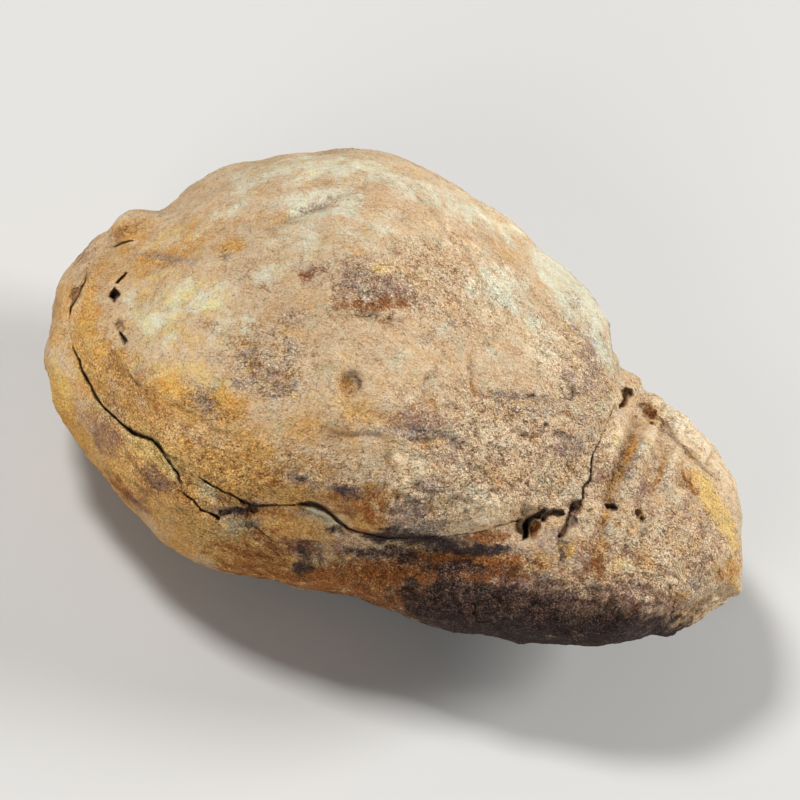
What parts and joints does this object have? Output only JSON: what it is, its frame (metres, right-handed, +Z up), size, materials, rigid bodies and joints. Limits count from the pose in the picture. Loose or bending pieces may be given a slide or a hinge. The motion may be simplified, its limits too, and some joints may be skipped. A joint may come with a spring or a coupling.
{
  "type": "enrolled fossil trilobite",
  "caption": "Rolled-up trilobite preserved as a solid stone: a domed head shield over a ribbed bend of thorax, closed along a seam, resting on a worn flat.",
  "frame": {"origin": "on the resting face, under the middle of the stone's box", "axes": "+X along the animal towards the bend of the thorax, with the front of the head at -X; +Y across it; +Z up out of the head shield"},
  "size_m": [0.0838, 0.0546, 0.0417],
  "materials": {
    "stone": "matt, fine-grained buff limestone with ochre, rust and grey-green staining"
  },
  "bodies": {
    "root": {"trilobite_stone": "stone"}
  },
  "joints": []
}
